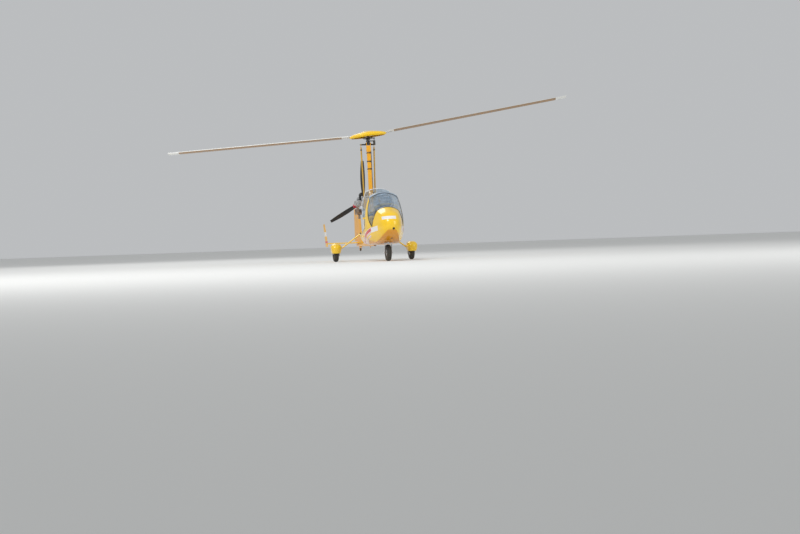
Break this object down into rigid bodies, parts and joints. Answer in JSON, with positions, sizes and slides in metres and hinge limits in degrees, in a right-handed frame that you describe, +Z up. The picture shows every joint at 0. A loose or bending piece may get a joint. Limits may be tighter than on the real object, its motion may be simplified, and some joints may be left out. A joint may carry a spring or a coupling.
{
  "type": "gyrocopter",
  "caption": "Open-cockpit tandem gyrocopter with a pod body, mast, teetering rotor, pusher propeller, faired main wheels, steered nose wheel and a tail with fin, rudder and end plates.",
  "frame": {"origin": "on the ground at the middle of the bounding box", "axes": "+X forward, +Y to port (the machine's left), +Z up"},
  "size_m": [4.9, 8.2546, 3.3112],
  "materials": {
    "yellow_shell": "gloss",
    "white_shell": "gloss",
    "tinted_glass": "gloss",
    "black_pad": "matte",
    "black_plastic": "matte",
    "black_metal": "satin",
    "yellow_tube": "satin",
    "yellow_leg": "gloss",
    "yellow_rod": "satin",
    "steel": "satin",
    "aluminium": "satin",
    "black_aluminium": "satin",
    "red_filter": "matte",
    "tyre": "matte",
    "rubber": "matte",
    "black_blade": "satin",
    "white_blade": "satin"
  },
  "bodies": {
    "airframe": {"body_shell": "yellow_shell", "windscreen": "tinted_glass", "windscreen_rim": "yellow_shell", "rear_windscreen": "tinted_glass", "seat_bulkhead": "yellow_shell", "seat_shells": "white_shell", "front_seat_pads": "black_pad", "rear_seat_pads": "black_pad", "instrument_panel": "black_plastic", "control_sticks": "black_metal", "pitot_tube": "black_metal", "keel": "yellow_tube", "mast": "yellow_tube", "gear_legs": "yellow_leg", "main_axles": "steel", "wheel_fairings": "yellow_shell", "nose_housing": "aluminium", "stabiliser": "yellow_shell", "end_fins": "yellow_shell", "fin": "yellow_shell", "engine_mount": "black_metal", "engine_block": "aluminium", "cylinders": "aluminium", "intake": "black_plastic", "air_filter": "red_filter", "exhaust": "steel", "radiator": "black_aluminium"},
    "nose_gear": {"nose_fork": "steel"},
    "nose_wheel": {"tyre_nose": "tyre", "rim_nose": "aluminium"},
    "left_wheel": {"tyre_left": "tyre", "rim_left": "aluminium"},
    "right_wheel": {"tyre_right": "tyre", "rim_right": "aluminium"},
    "tail_wheel": {"tail_wheel": "rubber"},
    "rudder": {"rudder": "yellow_shell"},
    "propeller": {"propeller_hub": "aluminium", "propeller_blades": "black_blade"},
    "mixer": {"mixer": "aluminium"},
    "control_rods": {"control_rods": "yellow_rod"},
    "rotor_head": {"rotor_head": "aluminium", "head_bearing": "aluminium"},
    "rotor_hub": {"teeter_tower": "aluminium"},
    "rotor": {"hub_bar": "aluminium", "rotor_fairing": "yellow_shell", "rotor_blade_left": "white_blade", "rotor_blade_right": "white_blade"}
  },
  "joints": [
    {"name": "nose_steering", "type": "hinge", "parent": "airframe", "child": "nose_gear", "pos_m": [1.89, 0, 0.45], "axis": [0, 0, 1], "range_deg": [-25, 25]},
    {"name": "nose_wheel_spin", "type": "hinge", "parent": "nose_gear", "child": "nose_wheel", "pos_m": [1.85, 0, 0.165], "axis": [0, 1, 0], "continuous": true},
    {"name": "left_wheel_spin", "type": "hinge", "parent": "airframe", "child": "left_wheel", "pos_m": [0.05, 0.8, 0.165], "axis": [0, 1, 0], "continuous": true},
    {"name": "right_wheel_spin", "type": "hinge", "parent": "airframe", "child": "right_wheel", "pos_m": [0.05, -0.8, 0.165], "axis": [0, 1, 0], "continuous": true},
    {"name": "tail_wheel_spin", "type": "hinge", "parent": "airframe", "child": "tail_wheel", "pos_m": [-1.7, 0, 0.236], "axis": [0, 1, 0], "continuous": true},
    {"name": "rudder_hinge", "type": "hinge", "parent": "airframe", "child": "rudder", "pos_m": [-2.01, 0, 0.77], "axis": [0, 0, 1], "range_deg": [-30, 30]},
    {"name": "propeller_spin", "type": "hinge", "parent": "airframe", "child": "propeller", "pos_m": [-1.015, 0, 1.285], "axis": [1, 0, 0], "continuous": true},
    {"name": "rotor_head_tilt", "type": "hinge", "parent": "airframe", "child": "rotor_head", "pos_m": [-0.16972, 0, 2.45749], "axis": [0, -1, 0], "range_deg": [-12, 6]},
    {"name": "rotor_spin", "type": "hinge", "parent": "rotor_head", "child": "rotor_hub", "pos_m": [-0.16972, 0, 2.45749], "axis": [-0.1392, 0, 0.9903], "continuous": true},
    {"name": "rotor_teeter", "type": "hinge", "parent": "rotor_hub", "child": "rotor", "pos_m": [-0.20103, 0, 2.6803], "axis": [0.9686, -0.2079, 0.1361], "range_deg": [-9, 0]},
    {"name": "control_rod_travel", "type": "slide", "parent": "airframe", "child": "control_rods", "axis": [-0.0681, 0, 0.9977], "range_m": [-0.013, 0.026]},
    {"name": "mixer_pivot", "type": "hinge", "parent": "airframe", "child": "mixer", "pos_m": [-0.04, 0, 0.55361], "axis": [0, -1, 0], "range_deg": [-12, 6]}
  ],
  "couplings": [
    {"joint": "rudder_hinge", "follows": "nose_steering", "ratio": -1.2},
    {"joint": "control_rod_travel", "follows": "rotor_head_tilt", "m_per_rad": -0.12},
    {"joint": "mixer_pivot", "follows": "rotor_head_tilt", "ratio": 1}
  ]
}
